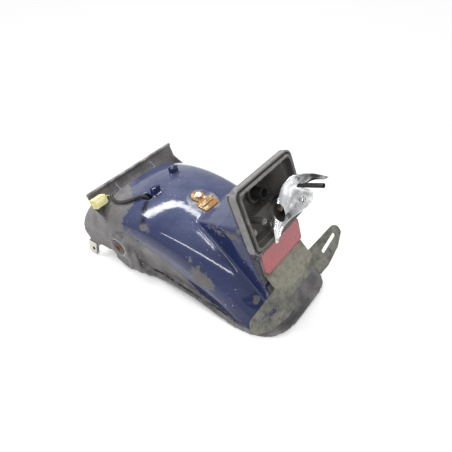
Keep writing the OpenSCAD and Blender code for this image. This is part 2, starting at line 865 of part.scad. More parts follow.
// A tube along a list of points
module tube(path, d, sides) {
    rings = [for (i = [0 : len(path) - 1])
        let (
            a = path[max(0, i - 1)],
            b = path[min(len(path) - 1, i + 1)],
            t = (b - a) / norm(b - a),
            u = cross(t, [0, 0, 1]) / norm(cross(t, [0, 0, 1])),
            v = cross(u, t)
        )
        [for (k = [0 : sides - 1]) path[i] + d / 2 * (cos(360 * k / sides) * u + sin(360 * k / sides) * v)]];
    n = sides;
    m = len(path);
    points = [for (ring = rings) each ring];
    skin = [for (j = [0 : m - 2]) for (i = [0 : n - 1])
        let (a = j * n + i, b = j * n + (i + 1) % n, c = a + n, q = b + n)
        each [[a, q, b], [a, c, q]]];
    ends = [[for (i = [0 : n - 1]) i], [for (i = [n - 1 : -1 : 0]) (m - 1) * n + i]];
    polyhedron(points, concat(skin, ends), convexity = 4);
}

sheath_route = [
    [-44, 77, 126], [-44.5, 79, 131], [-47, 83, 134.5], [-52, 89, 135.5], [-58, 96, 133.5],
    [-63, 105, 130.5], [-67, 115, 127], [-69, 125, 123.5], [-69, 135, 120], [-67, 143, 118.5],
    [-64, 148, 119]
];

module sheath() { color(black_rubber) tube(sheath_route, sheath_d, 8); }

connector_down = 18.5;
connector_x = -89;

module at_connector() {
    at_front_wall() translate([connector_x, -connector_t / 2 - 3.4, -connector_down]) children();
}

module connector() {
    color(cream) at_connector() cube([connector_l, connector_t, connector_w], center = true);
}

wire_start = [-64, 148, 119];
wire_ends = [[-76.5, 149, 122], [-76.5, 148, 118], [-76.5, 146.5, 114]];

module wire(i) {
    a = wire_start + [0, 0, (1 - i) * wire_d];
    b = wire_ends[i];
    tube([a, a + [-4, 1, 1], (a + b) / 2 + [0, 0, 2 - i], b + [3, 0, 0], b], wire_d, 8);
}

module wire_yellow() { color([0.75, 0.75, 0.25]) wire(0); }
module wire_blue() { color([0.15, 0.3, 0.6]) wire(1); }
module wire_black() { color(black_rubber) wire(2); }

fender();
lamp_housing();
lamp_gasket();
lamp_inserts();
bulb_socket();
chrome_reflector();
chrome_screw();
lamp_bolts();
lamp_nuts();
rear_reflector();
reflector_nuts();
plate_bracket();
seat_catch();
seat_catch_bolt();
seat_catch_nut();
grommet_left();
grommet_right();
sleeve_left();
sleeve_right();
clip_nut_left();
clip_nut_right();
sheath();
wire_yellow();
wire_blue();
wire_black();
connector();
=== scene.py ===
"""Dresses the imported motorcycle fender: worn blue paint on dark plastic, broken chrome, rusted steel."""

import math

import bmesh
import bpy
from mathutils import Matrix, Vector


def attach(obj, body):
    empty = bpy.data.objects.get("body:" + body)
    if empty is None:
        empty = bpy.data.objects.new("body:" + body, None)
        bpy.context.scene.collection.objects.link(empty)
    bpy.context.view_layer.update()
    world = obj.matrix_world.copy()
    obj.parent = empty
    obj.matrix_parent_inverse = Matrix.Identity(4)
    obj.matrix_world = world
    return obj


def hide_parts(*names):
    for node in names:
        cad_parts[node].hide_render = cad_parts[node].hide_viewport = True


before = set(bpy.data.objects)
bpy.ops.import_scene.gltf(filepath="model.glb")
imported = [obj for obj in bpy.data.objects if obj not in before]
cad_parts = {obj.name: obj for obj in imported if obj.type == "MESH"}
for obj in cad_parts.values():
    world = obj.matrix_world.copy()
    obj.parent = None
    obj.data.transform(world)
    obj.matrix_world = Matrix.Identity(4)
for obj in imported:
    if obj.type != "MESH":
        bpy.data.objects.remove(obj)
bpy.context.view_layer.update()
scene = bpy.context.scene


def mm(x, y, z):
    return Vector((x, y, z)) * 0.001


def tilted(x, y, z, lean):
    """A frame whose z runs up a face that leans back by lean degrees, and whose y goes into it."""
    return Matrix.Translation(mm(x, y, z)) @ Matrix.Rotation(math.radians(-lean), 4, "X")


def share(value):
    """Holds a value between 0 and 1."""
    return min(max(value, 0), 1)


# Frames of the lamp's face, of the red reflector's pad, of the front wall and of the connector

LAMP = tilted(0, -134, 185, 20.5)
PAD = tilted(0, -145.6, 111, 14.2)
WALL = tilted(0, 165, 135, 22.2)
CONNECTOR = WALL @ Matrix.Translation(mm(-89, -10.4, -18.5))

# Camera, fitted to the photograph's straight edges. The columns of sight are its right, up and backwards

camera = bpy.data.objects.new("camera", bpy.data.cameras.new("camera"))
scene.collection.objects.link(camera)
scene.camera = camera
camera.data.sensor_width = 36
camera.data.lens = 33.6
camera.data.clip_start = 0.02
sight = Matrix(((0.607, 0.547, -0.576), (-0.7923, 0.369, -0.4846), (-0.0526, 0.7515, 0.6577)))
camera.matrix_world = Matrix.Translation(mm(-387, -373, 540.3)) @ sight.to_4x4()


# Shader helpers


class Nodes:
    """Adds nodes to one tree from left to right and links them by socket name."""

    def __init__(self, tree):
        self.tree = tree
        self.count = 0

    def add(self, kind, **values):
        node = self.tree.nodes.new(kind)
        node.location = (180 * (self.count % 8) - 1200, -220 * (self.count // 8))
        self.count += 1
        for name, value in values.items():
            setattr(node, name, value)
        return node

    def feed(self, socket, value):
        if isinstance(value, bpy.types.NodeSocket):
            self.tree.links.new(value, socket)
        elif isinstance(value, (tuple, list)) and len(value) == 3 and socket.type == "RGBA":
            socket.default_value = (*value, 1)
        else:
            socket.default_value = value

    def math(self, operation, a, b=0.0, c=0.0, clamp=False):
        node = self.add("ShaderNodeMath", operation=operation, use_clamp=clamp)
        for socket, value in zip(node.inputs, (a, b, c)):
            self.feed(socket, value)
        return node.outputs[0]

    def vector(self, operation, a, b=(0, 0, 0)):
        node = self.add("ShaderNodeVectorMath", operation=operation)
        self.feed(node.inputs[0], a)
        self.feed(node.inputs[1], b)
        return node.outputs["Value" if operation == "LENGTH" else "Vector"]

    def ramp(self, value, low, high, to_low=0.0, to_high=1.0):
        node = self.add("ShaderNodeMapRange", interpolation_type="SMOOTHSTEP")
        for socket, v in zip(node.inputs, (value, low, high, to_low, to_high)):
            self.feed(socket, v)
        return node.outputs["Result"]

    def mix(self, factor, a, b):
        node = self.add("ShaderNodeMix", data_type="RGBA")
        self.feed(node.inputs["Factor"], factor)
        self.feed(node.inputs[6], a)
        self.feed(node.inputs[7], b)
        return node.outputs[2]

    def noise(self, at, scale, detail=4.0, roughness=0.55):
        node = self.add("ShaderNodeTexNoise")
        self.feed(node.inputs["Vector"], at)
        self.feed(node.inputs["Scale"], scale)
        self.feed(node.inputs["Detail"], detail)
        self.feed(node.inputs["Roughness"], roughness)
        return node.outputs["Fac"]

    def place(self):
        return self.add("ShaderNodeTexCoord").outputs["Object"]

    def own(self, name):
        return self.add("ShaderNodeAttribute", attribute_name=name).outputs["Fac"]

    def use(self, group, **values):
        """Places a node group with its own values. Returns its outputs."""
        node = self.add("ShaderNodeGroup", node_tree=group)
        for name, value in values.items():
            self.feed(node.inputs[name], value)
        return node.outputs


def new_group(name, inputs, outputs):
    """A shader node group with named sockets. Returns it, its nodes, and its input and output nodes."""
    tree = bpy.data.node_groups.new(name, "ShaderNodeTree")
    for label, kind, value in inputs:
        socket = tree.interface.new_socket(name=label, in_out="INPUT", socket_type=kind)
        socket.default_value = value
    for label, kind in outputs:
        tree.interface.new_socket(name=label, in_out="OUTPUT", socket_type=kind)
    nodes = Nodes(tree)
    return tree, nodes, nodes.add("NodeGroupInput").outputs, nodes.add("NodeGroupOutput").inputs


def make_worn_patch():
    """A ragged patch: 1 inside an ellipsoid round a centre, 0 outside it."""
    tree, n, given, result = new_group(
        "worn patch",
        [
            ("Centre", "NodeSocketVector", (0, 0, 0)),
            ("Size", "NodeSocketVector", (0.01, 0.01, 0.01)),
            ("Ragged", "NodeSocketFloat", 0.6),
            ("Scale", "NodeSocketFloat", 150.0),
        ],
        [("Mask", "NodeSocketFloat")],
    )
    at = n.place()
    away = n.vector("DIVIDE", n.vector("SUBTRACT", at, given["Centre"]), given["Size"])
    torn = n.math("SUBTRACT", n.noise(at, given["Scale"], 6, 0.65), 0.5)
    torn = n.math("MULTIPLY", torn, given["Ragged"])
    reach = n.math("MULTIPLY_ADD", torn, 3.0, n.vector("LENGTH", away))
    n.feed(result["Mask"], n.ramp(reach, 1.08, 0.92))
    return tree


def make_scratches():
    """Fine straight scratches in two directions."""
    tree, n, given, result = new_group(
        "scratches",
        [("Amount", "NodeSocketFloat", 0.3), ("Scale", "NodeSocketFloat", 60.0)],
        [("Mask", "NodeSocketFloat")],
    )
    at = n.place()
    lines = []
    for turn, stretch in (((0.3, 0.5, 0.7), (0.5, 12, 12)), ((1.1, -0.6, 2.0), (0.4, 16, 16))):
        mapping = n.add("ShaderNodeMapping")
        n.feed(mapping.inputs["Vector"], at)
        mapping.inputs["Rotation"].default_value = turn
        mapping.inputs["Scale"].default_value = stretch
        streak = n.noise(mapping.outputs["Vector"], given["Scale"], 2, 0.5)
        lines.append(n.ramp(streak, 0.66, 0.72))
    patchy = n.ramp(n.noise(at, 45.0, 3), 0.45, 0.65)
    both = n.math("MAXIMUM", lines[0], lines[1])
    n.feed(result["Mask"], n.math("MULTIPLY", n.math("MULTIPLY", both, patchy), given["Amount"]))
    return tree


def make_dirt():
    """A film of dust and dirt, thick in some places and thin in others."""
    tree, n, given, result = new_group(
        "dirt film",
        [("Amount", "NodeSocketFloat", 0.3), ("Scale", "NodeSocketFloat", 30.0)],
        [("Mask", "NodeSocketFloat")],
    )
    at = n.place()
    clouds = n.ramp(n.noise(at, given["Scale"], 6, 0.6), 0.35, 0.7)
    specks = n.ramp(n.noise(at, n.math("MULTIPLY", given["Scale"], 22.0), 2, 0.5), 0.45, 0.62)
    film = n.math("MULTIPLY", clouds, n.math("MULTIPLY_ADD", specks, 0.45, 0.55))
    n.feed(result["Mask"], n.math("MULTIPLY", film, given["Amount"], clamp=True))
    return tree


def make_grain():
    """The fine texture of moulded plastic, as a height."""
    tree, n, given, result = new_group(
        "moulded grain",
        [("Scale", "NodeSocketFloat", 900.0)],
        [("Height", "NodeSocketFloat")],
    )
    at = n.place()
    fine = n.noise(at, given["Scale"], 3, 0.6)
    broad = n.noise(at, n.math("MULTIPLY", given["Scale"], 0.12), 3, 0.5)
    n.feed(result["Height"], n.math("MULTIPLY_ADD", broad, 0.8, fine))
    return tree


def make_rust():
    """Rust from dark brown scale to orange bloom, with a mask and a height of its own."""
    tree, n, given, result = new_group(
        "rust",
        [
            ("Amount", "NodeSocketFloat", 0.5),
            ("Scale", "NodeSocketFloat", 120.0),
            ("Bright", "NodeSocketColor", (0.42, 0.17, 0.03, 1)),
        ],
        [("Color", "NodeSocketColor"), ("Mask", "NodeSocketFloat"), ("Height", "NodeSocketFloat")],
    )
    at = n.place()
    blotch = n.noise(at, given["Scale"], 6, 0.65)
    crust = n.noise(at, n.math("MULTIPLY", given["Scale"], 5.0), 4, 0.7)
    sound = n.math("SUBTRACT", 1.0, given["Amount"])
    starts, ends = n.math("MULTIPLY_ADD", sound, 0.5, 0.2), n.math("MULTIPLY_ADD", sound, 0.5, 0.32)
    n.feed(result["Mask"], n.ramp(blotch, starts, ends))
    dark = n.mix(crust, (0.055, 0.022, 0.012), (0.16, 0.06, 0.022))
    n.feed(result["Color"], n.mix(n.ramp(blotch, 0.42, 0.66), dark, given["Bright"]))
    n.feed(result["Height"], n.math("ADD", blotch, n.math("MULTIPLY", crust, 0.6)))
    return tree


WORN_PATCH = make_worn_patch()
SCRATCHES = make_scratches()
DIRT = make_dirt()
GRAIN = make_grain()
RUST = make_rust()


def new_material(name):
    """A new material, its nodes and its main shader."""
    material = bpy.data.materials.new(name)
    material.use_nodes = True
    return material, Nodes(material.node_tree), material.node_tree.nodes["Principled BSDF"]


def bump(nodes, shader, height, distance, strength):
    """Raises the shader's surface by a height, up to distance in metres."""
    node = nodes.add("ShaderNodeBump")
    node.inputs["Strength"].default_value = strength
    node.inputs["Distance"].default_value = distance
    nodes.feed(node.inputs["Height"], height)
    nodes.feed(shader.inputs["Normal"], node.outputs["Normal"])


# Materials


def make_painted_plastic():
    """Dark blue gloss on dark grey plastic, which is bare where the torn paint margin is below zero."""
    material, n, shader = new_material("worn blue paint on plastic")
    at = n.place()

    # Masks: where the paint holds, its pale broken rim, what lies on it, and the painted sheen and shade
    torn = n.math("SUBTRACT", n.noise(at, 170.0, 8, 0.72), 0.5)
    margin = n.math("MULTIPLY_ADD", torn, 25.0, n.own("paint_margin"))
    chips = n.ramp(n.noise(at, 120.0, 3, 0.5), 0.71, 0.73)
    cover = n.math("MULTIPLY", n.ramp(margin, -0.3, 0.3), n.math("SUBTRACT", 1.0, chips))
    rim = n.math("MULTIPLY", cover, n.ramp(margin, 1.6, 0.2))
    bare = n.math("SUBTRACT", 1.0, cover)
    scratched = n.use(SCRATCHES, Amount=0.45, Scale=42.0)["Mask"]
    dust_and_sheen = n.math("MULTIPLY", n.own("dust_and_sheen"), n.use(DIRT, Amount=1.0, Scale=38.0)["Mask"], clamp=True)
    # Painted reflection of the bright ceiling, with a milky film, strongest where the paint faces up, in
    # clouds
    clouds = n.ramp(n.noise(at, 26.0, 5, 0.6), 0.25, 0.75, 0.55, 1.25)
    film = n.math("MULTIPLY", n.own("haze"), clouds, clamp=True)
    film = n.math("MULTIPLY", film, n.ramp(cover, 0.0, 1.0, 0.3, 1.0))
    where_flecked = n.ramp(n.noise(at, 30.0, 4, 0.6), 0.5, 0.62)
    flecks = n.math("MULTIPLY", n.ramp(n.noise(at, 330.0, 2, 0.5), 0.685, 0.70), where_flecked)
    dots = n.math("MULTIPLY", n.ramp(n.noise(at, 240.0, 2, 0.5), 0.64, 0.67), bare)
    # Painted shade: the crease along the foot and the step below the left hook go near black, broken up by
    # noise
    broken = n.ramp(n.noise(at, 90.0, 5, 0.7), 0.42, 0.5, 0.4, 1.25)
    painted_crease_shade = n.math("MULTIPLY", n.own("crease_shade"), broken, clamp=True)

    # Colours, from the paint and the plastic to what lies on both, with painted sheen, highlight and shade
    # last
    blue = n.mix(n.noise(at, 16.0, 3, 0.6), (0.005, 0.010, 0.042), (0.018, 0.026, 0.092))
    blue = n.mix(n.math("MULTIPLY", rim, 0.45), blue, (0.14, 0.145, 0.165))
    blue = n.mix(n.math("MULTIPLY", flecks, 0.75), blue, (0.40, 0.43, 0.50))
    grey = n.mix(n.noise(at, 60.0, 6, 0.65), (0.048, 0.045, 0.045), (0.136, 0.129, 0.130))
    colour = n.mix(cover, grey, blue)
    colour = n.mix(dots, colour, (0.03, 0.028, 0.028))
    colour = n.mix(n.math("MULTIPLY", scratched, 0.5), colour, (0.20, 0.20, 0.21))
    # Painted sheen: the paint goes pale lavender where it faces up
    colour = n.mix(film, colour, (0.28, 0.31, 0.42))
    # Dust, and on the lip a painted highlight
    colour = n.mix(dust_and_sheen, colour, (0.40, 0.39, 0.38))
    colour = n.mix(painted_crease_shade, colour, (0.006, 0.006, 0.010))
    n.feed(shader.inputs["Base Color"], colour)

    # Gloss and relief: the paint is a smooth layer on the plastic's grain
    shader.inputs["Specular IOR Level"].default_value = 0.36
    rough = n.ramp(cover, 0.0, 1.0, 0.5, 0.1)
    rough = n.math("MULTIPLY_ADD", scratched, 0.25, rough)
    n.feed(shader.inputs["Roughness"], n.math("MULTIPLY_ADD", dust_and_sheen, 0.4, rough, clamp=True))
    grain = n.math("MULTIPLY", n.use(GRAIN, Scale=700.0)["Height"], n.ramp(cover, 0.0, 1.0, 0.55, 0.05))
    bump(n, shader, n.math("MULTIPLY_ADD", cover, 0.9, grain), 0.00025, 0.7)
    return material


def make_housing_plastic():
    """The lamp housing's brown-grey plastic, scuffed pale on its left wall and along its top edge, with a
    painted highlight along its rounded edges.
    """
    material, n, shader = new_material("scuffed housing plastic")
    at = n.place()
    base = n.mix(n.noise(at, 50.0, 5, 0.6), (0.050, 0.047, 0.044), (0.098, 0.092, 0.086))
    worn = 0.0
    for centre, size, ragged in (
        ((-0.067, -0.125, 0.185), (0.007, 0.04, 0.06), 0.5),
        ((0.0, -0.118, 0.232), (0.066, 0.02, 0.010), 0.45),
        ((0.01, -0.085, 0.205), (0.05, 0.012, 0.03), 0.4),
    ):
        patch = n.use(WORN_PATCH, Centre=centre, Size=size, Ragged=ragged, Scale=130.0)["Mask"]
        worn = n.math("MAXIMUM", patch, worn)
    scratched = n.use(SCRATCHES, Amount=0.8, Scale=40.0)["Mask"]
    dust_and_sheen = n.use(DIRT, Amount=0.2, Scale=35.0)["Mask"]
    scuffed = n.mix(n.noise(at, 90.0, 6, 0.7), (0.06, 0.058, 0.057), (0.27, 0.265, 0.26))
    colour = n.mix(worn, base, scuffed)
    colour = n.mix(n.math("MAXIMUM", n.math("MULTIPLY", scratched, 0.6), dust_and_sheen), colour, (0.24, 0.23, 0.215))
    # Painted highlight along the rounded edges
    painted_edge_highlight = n.math("MULTIPLY", n.own("edge_highlight"), n.ramp(n.noise(at, 70.0, 4, 0.6), 0.35, 0.6, 0.2, 0.9))
    colour = n.mix(painted_edge_highlight, colour, (0.44, 0.44, 0.44))
    n.feed(shader.inputs["Base Color"], colour)
    n.feed(shader.inputs["Roughness"], n.ramp(n.math("MAXIMUM", worn, dust_and_sheen), 0.0, 1.0, 0.36, 0.68))
    bump(n, shader, n.use(GRAIN, Scale=800.0)["Height"], 0.00018, 0.5)
    return material


def make_chrome():
    """Vacuum-plated plastic: bright, with dull dusty places, fine scratches and a painted dark reflection on
    its tip.
    """
    material, n, shader = new_material("plated plastic")
    at = n.place()
    dull = n.use(DIRT, Amount=0.5, Scale=55.0)["Mask"]
    scratched = n.use(SCRATCHES, Amount=0.5, Scale=48.0)["Mask"]
    plating = n.mix(n.ramp(n.noise(at, 42.0, 4, 0.6), 0.42, 0.62), (0.46, 0.47, 0.48), (0.90, 0.91, 0.92))
    # Painted dark reflection on the bowl's tip
    dark_reflection_at, dark_reflection_size = (0.058, -0.178, 0.208), (0.018, 0.020, 0.016)
    dark_reflection = n.use(WORN_PATCH, Centre=dark_reflection_at, Size=dark_reflection_size, Ragged=0.35, Scale=50.0)["Mask"]
    plating = n.mix(n.math("MULTIPLY", dark_reflection, 0.85), plating, (0.13, 0.13, 0.14))
    n.feed(shader.inputs["Base Color"], n.mix(n.math("MULTIPLY", dull, 0.6), plating, (0.38, 0.38, 0.39)))
    n.feed(shader.inputs["Metallic"], n.ramp(dull, 0.2, 0.9, 1.0, 0.75))
    marked = n.math("MAXIMUM", dull, scratched)
    n.feed(shader.inputs["Roughness"], n.math("MULTIPLY_ADD", marked, 0.32, 0.12))
    bump(n, shader, n.noise(at, 40.0, 2, 0.4), 0.0012, 0.25)
    return material


def make_red_lens():
    """Old red reflector: faded at its face, with a fine prism pattern under it."""
    material, n, shader = new_material("faded red lens")
    at = n.place()
    prisms = n.add("ShaderNodeTexVoronoi", feature="F1", distance="CHEBYCHEV")
    n.feed(prisms.inputs["Vector"], at)
    prisms.inputs["Scale"].default_value = 420.0
    prisms.inputs["Randomness"].default_value = 0.0
    haze = n.use(DIRT, Amount=0.75, Scale=26.0)["Mask"]
    depth = n.math("MULTIPLY", prisms.outputs["Distance"], 0.5)
    red = n.mix(depth, (0.36, 0.038, 0.052), (0.22, 0.024, 0.032))
    n.feed(shader.inputs["Base Color"], n.mix(haze, red, (0.26, 0.11, 0.11)))
    shader.inputs["Coat Weight"].default_value = 0.2
    shader.inputs["Coat Roughness"].default_value = 0.12
    n.feed(shader.inputs["Roughness"], n.math("MULTIPLY_ADD", haze, 0.3, 0.25))
    bump(n, shader, prisms.outputs["Distance"], 0.0003, 0.25)
    return material


def make_old_steel():
    """The plate bracket: worn olive-grey paint on steel, dusty in the middle, rust in its corners."""
    material, n, shader = new_material("worn bracket paint")
    at = n.place()
    mottle = n.ramp(n.noise(at, 70.0, 7, 0.7), 0.34, 0.64)
    base = n.mix(mottle, (0.034, 0.036, 0.030), (0.150, 0.152, 0.128))
    middle, reach = (0, -0.165, 0.075), (0.052, 0.024, 0.022)
    dusty = n.use(WORN_PATCH, Centre=middle, Size=reach, Ragged=0.35, Scale=60.0)["Mask"]
    dusty = n.math("MULTIPLY", dusty, n.ramp(n.noise(at, 110.0, 5, 0.7), 0.35, 0.6, 0.35, 0.95))
    specks = n.use(DIRT, Amount=0.55, Scale=60.0)["Mask"]
    rust = n.use(RUST, Amount=0.24, Scale=95.0, Bright=(0.06, 0.045, 0.025))
    colour = n.mix(dusty, base, (0.235, 0.225, 0.17))
    colour = n.mix(specks, colour, (0.23, 0.225, 0.19))
    colour = n.mix(n.math("MULTIPLY", rust["Mask"], 0.7), colour, rust["Color"])
    n.feed(shader.inputs["Base Color"], colour)
    n.feed(shader.inputs["Roughness"], n.ramp(n.noise(at, 80.0, 3), 0.3, 0.7, 0.42, 0.7))
    bump(n, shader, n.noise(at, 260.0, 5, 0.6), 0.0003, 0.5)
    return material


def make_rusted_steel(name, amount, bright, bare, scale=120.0):
    """Steel that has rusted by amount, with the colours of its brightest rust and of its bare metal."""
    material, n, shader = new_material(name)
    rust = n.use(RUST, Amount=amount, Scale=scale, Bright=bright)
    n.feed(shader.inputs["Base Color"], n.mix(rust["Mask"], bare, rust["Color"]))
    n.feed(shader.inputs["Metallic"], n.ramp(rust["Mask"], 0.0, 1.0, 0.85, 0.0))
    n.feed(shader.inputs["Roughness"], n.ramp(rust["Mask"], 0.0, 1.0, 0.38, 0.85))
    bump(n, shader, rust["Height"], 0.0005, 0.7)
    return material


def make_soft(name, dark, light, roughness, dirt):
    """Rubber, wire cover or plain moulded plastic, with its dirt."""
    material, n, shader = new_material(name)
    base = n.mix(n.noise(n.place(), 120.0, 4, 0.6), dark, light)
    film = n.use(DIRT, Amount=dirt, Scale=60.0)["Mask"]
    n.feed(shader.inputs["Base Color"], n.mix(film, base, (0.20, 0.185, 0.16)))
    n.feed(shader.inputs["Roughness"], n.math("MULTIPLY_ADD", film, 0.3, roughness, clamp=True))
    bump(n, shader, n.use(GRAIN, Scale=1100.0)["Height"], 0.00012, 0.5)
    return material


PAINTED_PLASTIC = make_painted_plastic()
HOUSING_PLASTIC = make_housing_plastic()
CHROME = make_chrome()
RED_LENS = make_red_lens()
OLD_STEEL = make_old_steel()
ORANGE_RUST = make_rusted_steel("orange rusted plate", 0.58, (0.44, 0.21, 0.05), (0.41, 0.31, 0.18), 110.0)
RUSTED_BOLT = make_rusted_steel("rusted bolt head", 0.34, (0.50, 0.30, 0.12), (0.70, 0.61, 0.50), 160.0)
BROWN_RUST = make_rusted_steel("brown rusted steel", 0.85, (0.20, 0.10, 0.055), (0.30, 0.28, 0.24))
ZINC = make_rusted_steel("dull zinc", 0.42, (0.24, 0.13, 0.06), (0.48, 0.47, 0.45))
PALE_CLIP = make_rusted_steel("pale plated clip", 0.30, (0.32, 0.20, 0.10), (0.42, 0.40, 0.37))
RUBBER = make_soft("black rubber", (0.010, 0.010, 0.011), (0.022, 0.022, 0.024), 0.5, 0.05)
CREAM = make_soft("cream connector plastic", (0.72, 0.66, 0.32), (0.84, 0.78, 0.44), 0.38, 0.12)
YELLOW = make_soft("yellow wire cover", (0.45, 0.52, 0.06), (0.58, 0.60, 0.10), 0.35, 0.2)
BLUE = make_soft("blue wire cover", (0.03, 0.10, 0.34), (0.05, 0.14, 0.42), 0.35, 0.2)


# Mesh helpers


def set_out(name, data, slot, *nodes):
    """Puts a piece on the fender's body in place of the CAD nodes that it stands for."""
    piece = bpy.data.objects.new(name, data)
    scene.collection.objects.link(piece)
    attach(piece, "root")
    if nodes:
        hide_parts(*nodes)
    return piece


def to_mesh(name, bm):
    """Writes a bmesh to a mesh of its own and frees it."""
    mesh = bpy.data.meshes.new(name)
    bm.to_mesh(mesh)
    bm.free()
    return mesh


def add_piece(name, bm, material, slot, *nodes):
    """Sets a bmesh out as a piece with one material."""
    mesh = to_mesh(name, bm)
    mesh.materials.append(material)
    return set_out(name, mesh, slot, *nodes)


def node_copy(node):
    """A copy of a CAD node's loose triangles, joined where they meet."""
    bm = bmesh.new()
    bm.from_mesh(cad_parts[node].data)
    bmesh.ops.remove_doubles(bm, verts=bm.verts, dist=2e-6)
    return bm


def shade(bm, angle=38):
    """Shades the faces smooth and keeps edges that are sharper than angle crisp."""
    for face in bm.faces:
        face.smooth = True
    for edge in bm.edges:
        edge.smooth = len(edge.link_faces) == 2 and edge.calc_face_angle(0) < math.radians(angle)


def ease(bm, edges, width, segments=2):
    """Rounds some edges and returns the new faces."""
    made = bmesh.ops.bevel(bm, geom=edges, offset=width, offset_type="OFFSET", segments=segments,
                           profile=0.5, affect="EDGES", clamp_overlap=True, material=-1)
    return made["faces"]


def soften(bm, width, angle=28):
    """Rounds every edge that is sharper than angle and returns the new faces."""
    sharp = [e for e in bm.edges if len(e.link_faces) == 2 and e.calc_face_angle(0) > math.radians(angle)]
    eased = ease(bm, sharp, width)
    shade(bm)
    return eased


def rounded_node(node, width, material, slot):
    """A CAD node's shape with its flat faces joined and its edges rounded and marked for a painted
    highlight.
    """
    bm = node_copy(node)
    bmesh.ops.dissolve_limit(bm, angle_limit=math.radians(1.0), use_dissolve_boundaries=False,
                             verts=bm.verts, edges=bm.edges, delimit=set())
    edge_highlight = bm.faces.layers.float.new("edge_highlight")
    for face in soften(bm, width):
        face[edge_highlight] = 1
    piece = add_piece(node + "_finished", bm, material, slot, node)
    piece.modifiers.new("even normals", "WEIGHTED_NORMAL").keep_sharp = True


def apply_modifiers(piece):
    """The piece's mesh after its modifiers, as a bmesh. The piece itself is removed."""
    mesh = bpy.data.meshes.new_from_object(piece.evaluated_get(bpy.context.evaluated_depsgraph_get()))
    bpy.data.objects.remove(piece)
    bm = bmesh.new()
    bm.from_mesh(mesh)
    return bm


def block(low, high, rounding=0.0):
    """A block between two corners in millimetres, with its edges rounded by a width in metres."""
    bm = bmesh.new()
    bmesh.ops.create_cube(bm, size=1)
    bmesh.ops.scale(bm, vec=[(b - a) * 0.001 for a, b in zip(low, high)], verts=bm.verts)
    bmesh.ops.translate(bm, vec=[(a + b) * 0.0005 for a, b in zip(low, high)], verts=bm.verts)
    if rounding:
        soften(bm, rounding)
    return bm


def join(bm, part):
    """Adds one bmesh to another and frees it."""
    mesh = to_mesh("part", part)
    bm.from_mesh(mesh)
    bpy.data.meshes.remove(mesh)


def rod(bm, matrix, across, up, radius, start, end, sides=24):
    """Adds a cylinder along the y of the matrix's frame, between two depths, in millimetres."""
    made = bmesh.ops.create_cone(bm, cap_ends=True, segments=sides, radius1=radius * 0.001,
                                 radius2=radius * 0.001, depth=(end - start) * 0.001)
    middle = matrix @ Matrix.Translation(mm(across, (start + end) / 2, up))
    bmesh.ops.transform(bm, matrix=middle @ Matrix.Rotation(math.pi / 2, 4, "X"), verts=made["verts"])


def recess(bm, matrix, inset, depth):
    """Sinks the face that is furthest forwards, at the frame's lowest y, inside a rim. In millimetres."""
    inverse = matrix.inverted()
    front = min(bm.faces, key=lambda f: (inverse @ f.calc_center_median()).y)
    bmesh.ops.inset_region(bm, faces=[front], thickness=inset * 0.001)
    bmesh.ops.translate(bm, vec=matrix.to_3x3() @ mm(0, depth, 0), verts=front.verts)


# Fender, in millimetres. The shell is an arch about the wheel's axle, and y runs to its front

AXLE_Y, AXLE_Z = 50.8, -151.6
CORE_RADIUS, CREST_RADIUS = 215, 288
BOSS_Y, BOSS_Z = 102, 56
CATCH_Y = -4
BARE, PAINTED = -20, 20
SIDE_FRONT, CREST_FRONT = 90, 150
LIP = 3.5
TAIL_Y, TAIL_HALF_WIDTH = -158, 48
VOXEL, SMOOTHINGS = 2.2, 3

# Pairs of y and the height of the foot, the height below which the left side is bare, and how far out the
# gap above the lip lies, where painted shade darkens it

FOOT = ((99, 4), (70, 7), (25, 14), (-21, 19.5), (-64, 18.6), (-102, 11), (-131, 6), (-153, 3), (-200, 1))
BARE_EDGE = ((90, 90), (62, 88), (40, 80), (6, 65), (-20, 52), (-36, 43), (-48, 31), (-62, 19), (-70, 0))
FOOT_GAP = ((69, 84), (37, 83), (6, 86), (-22, 89), (-50, 90), (-74, 89), (-96, 87), (-116, 87), (-136, 88))

# Painted shade on the step below the left hook; the centre and half size of each place where paint came off

STEP_SHADE = ((-54, 70, 131), (-65, 64, 129), (-76, 57, 125), (-84, 51, 120))
PEELED = (
    ((-91, -71, 66), (12, 18, 15)),
    ((-89, -60, 73), (12, 10, 14)),
    ((-87, -47, 95), (3, 3, 3)),
    ((-89, 44, 115), (7, 8, 6)),
    ((-47, -70, 134), (4, 14, 3)),
    ((-50, -97, 139), (4, 15, 4)),
    ((-49, -112, 156), (4, 10, 4)),
    ((-61, -146, 46), (5, 5, 6)),
    ((-96, 70, 66), (8, 17, 26)),
    ((92, -58, 72), (10, 14, 11)),
    ((89, 28, 112), (8, 9, 6)),
    ((50, -96, 132), (4, 13, 8)),
    ((94, 40, 60), (8, 16, 10)),
)


def along(table, y):
    """Reads a table of pairs that runs from the front to the back of the fender."""
    for (y0, value0), (y1, value1) in zip(table, table[1:]):
        if y1 <= y <= y0:
            return value0 + (value1 - value0) * (y - y0) / (y1 - y0)
    return table[0][1] if y > 0 else table[-1][1]


